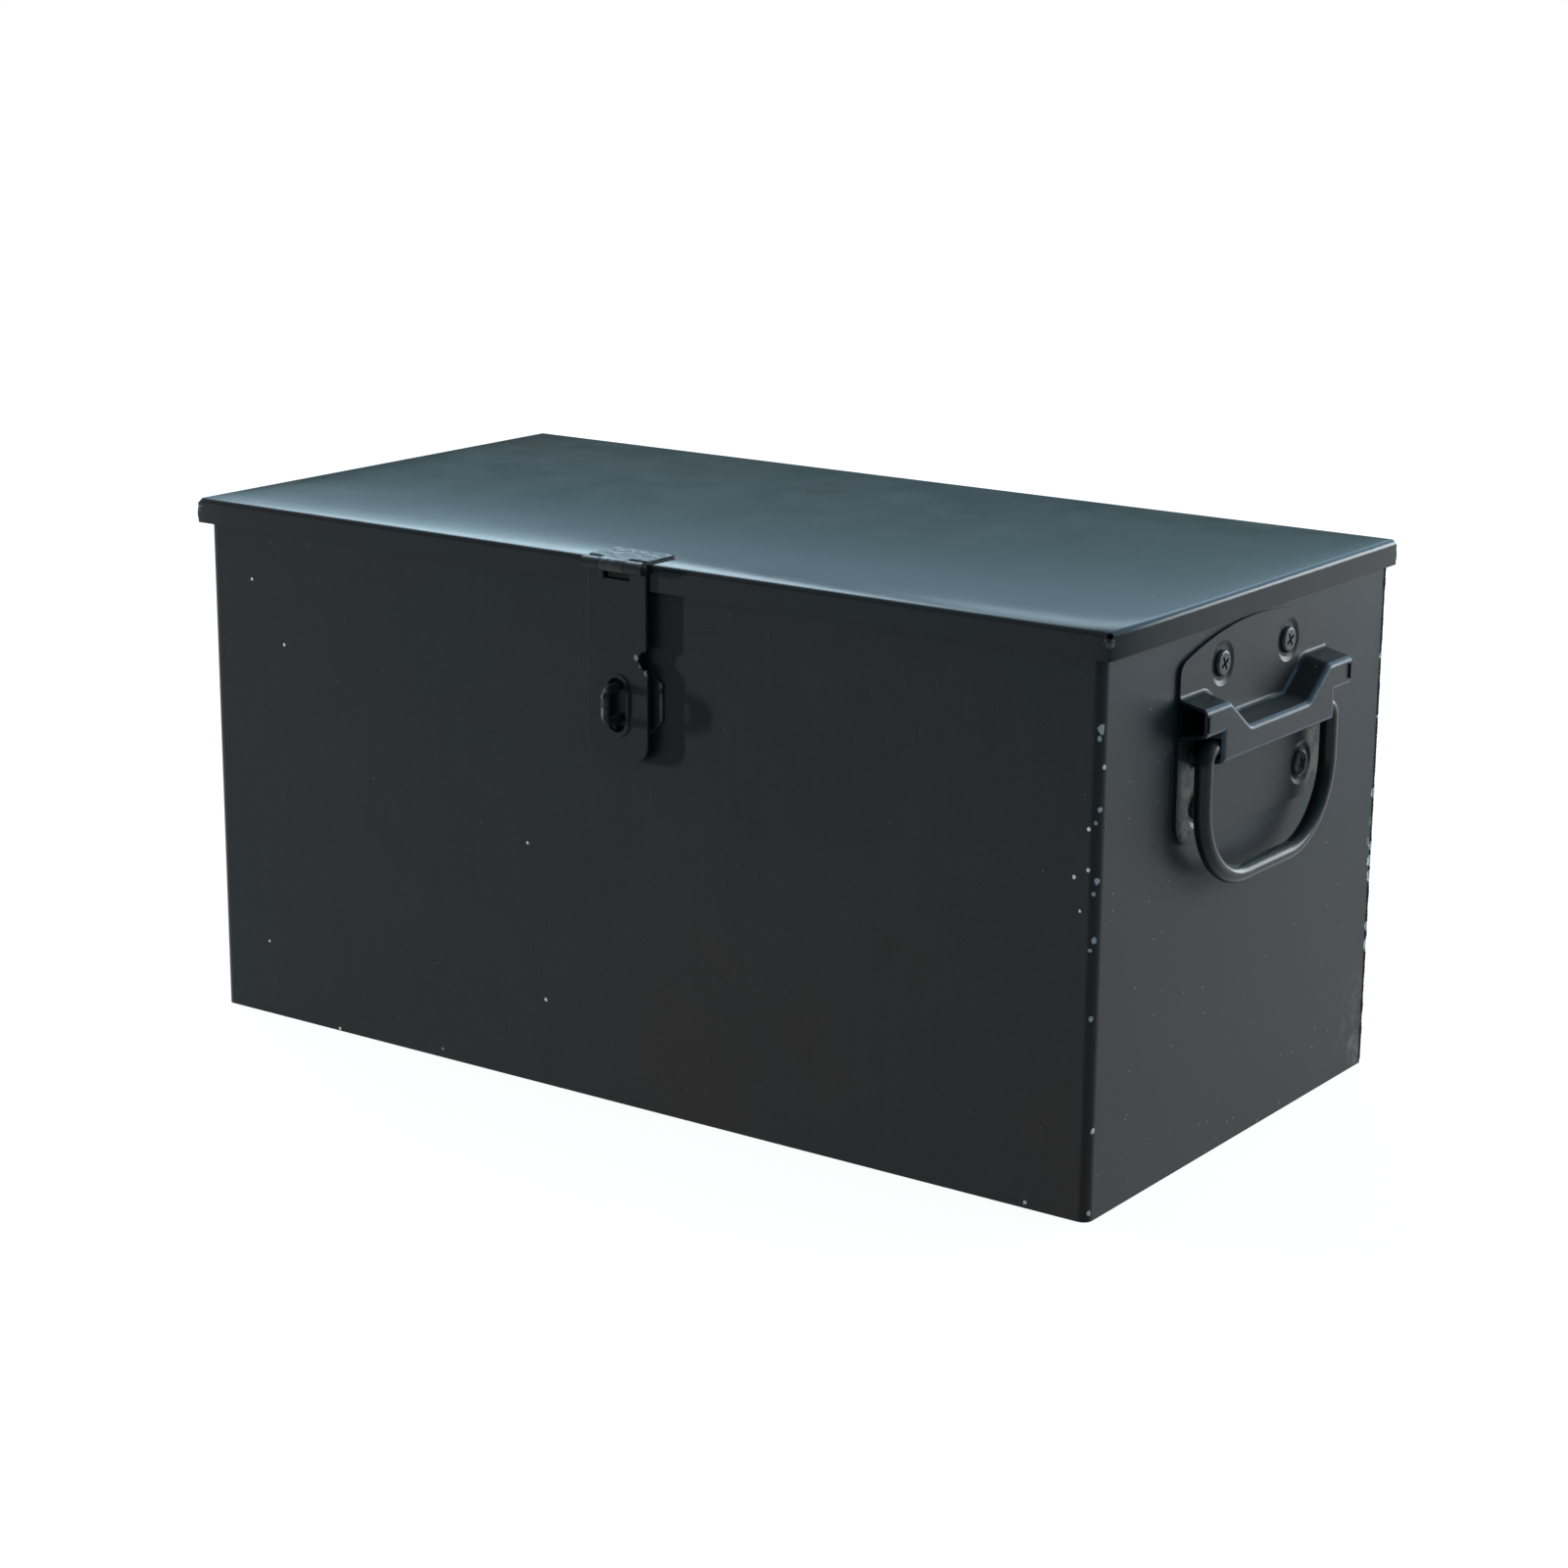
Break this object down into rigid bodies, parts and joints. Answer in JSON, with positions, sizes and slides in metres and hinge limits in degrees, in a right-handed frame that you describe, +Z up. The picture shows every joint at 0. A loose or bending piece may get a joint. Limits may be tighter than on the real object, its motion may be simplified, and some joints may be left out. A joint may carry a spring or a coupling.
{
  "type": "deed box",
  "caption": "Oblong painted sheet-steel deed box with a shallow hinged lid, a hasp and staple for a padlock, and a drop ring handle on each end.",
  "frame": {"origin": "middle of the underside, halfway between the front and the back walls", "axes": "+X to the right along the length, +Y from the front to the back, +Z up; the hasp is on the -Y side"},
  "size_m": [0.5324, 0.2786, 0.257],
  "materials": {
    "body_paint": "dark blue-grey semi-gloss enamel, chipped along its folds and seams",
    "lid_paint": "dark blue-grey semi-gloss enamel",
    "hardware_paint": "the box's enamel over the hardware",
    "pin_paint": "the box's enamel over the pins",
    "ring_paint": "the box's enamel, glossier where hands rub it",
    "screw_paint": "the box's enamel over the screw heads",
    "plated_steel": "dull zinc plate"
  },
  "bodies": {
    "box": {"body_wrap": "body_paint", "back_panel": "body_paint", "floor_pan": "body_paint", "hinge_left_body_leaf": "hardware_paint", "hinge_left_pin": "pin_paint", "hinge_right_body_leaf": "hardware_paint", "hinge_right_pin": "pin_paint", "staple_plate": "hardware_paint", "staple_loop": "hardware_paint", "handle_left_plate": "hardware_paint", "handle_left_screws": "screw_paint", "handle_left_washers": "plated_steel", "handle_left_nuts": "plated_steel", "handle_right_plate": "hardware_paint", "handle_right_screws": "screw_paint", "handle_right_washers": "plated_steel", "handle_right_nuts": "plated_steel"},
    "lid": {"lid_pan": "lid_paint", "hinge_left_lid_leaf": "hardware_paint", "hinge_right_lid_leaf": "hardware_paint", "hasp_leaf": "hardware_paint", "hasp_pin": "pin_paint"},
    "strap": {"hasp_strap": "hardware_paint"},
    "left_ring": {"handle_left_ring": "ring_paint"},
    "right_ring": {"handle_right_ring": "ring_paint"}
  },
  "joints": [
    {"name": "lid_hinge", "type": "hinge", "parent": "box", "child": "lid", "pos_m": [0, 0.13155, 0.23985], "axis": [-1, 0, 0], "range_deg": [0, 190]},
    {"name": "hasp_swing", "type": "hinge", "parent": "lid", "child": "strap", "pos_m": [0.004, -0.13495, 0.25395], "axis": [-1, 0, 0], "range_deg": [0, 245]},
    {"name": "right_ring_swing", "type": "hinge", "parent": "box", "child": "right_ring", "pos_m": [0.2595, 0, 0.193], "axis": [0, -1, 0], "range_deg": [0, 120]},
    {"name": "left_ring_swing", "type": "hinge", "parent": "box", "child": "left_ring", "pos_m": [-0.2595, 0, 0.193], "axis": [0, 1, 0], "range_deg": [0, 120]}
  ]
}
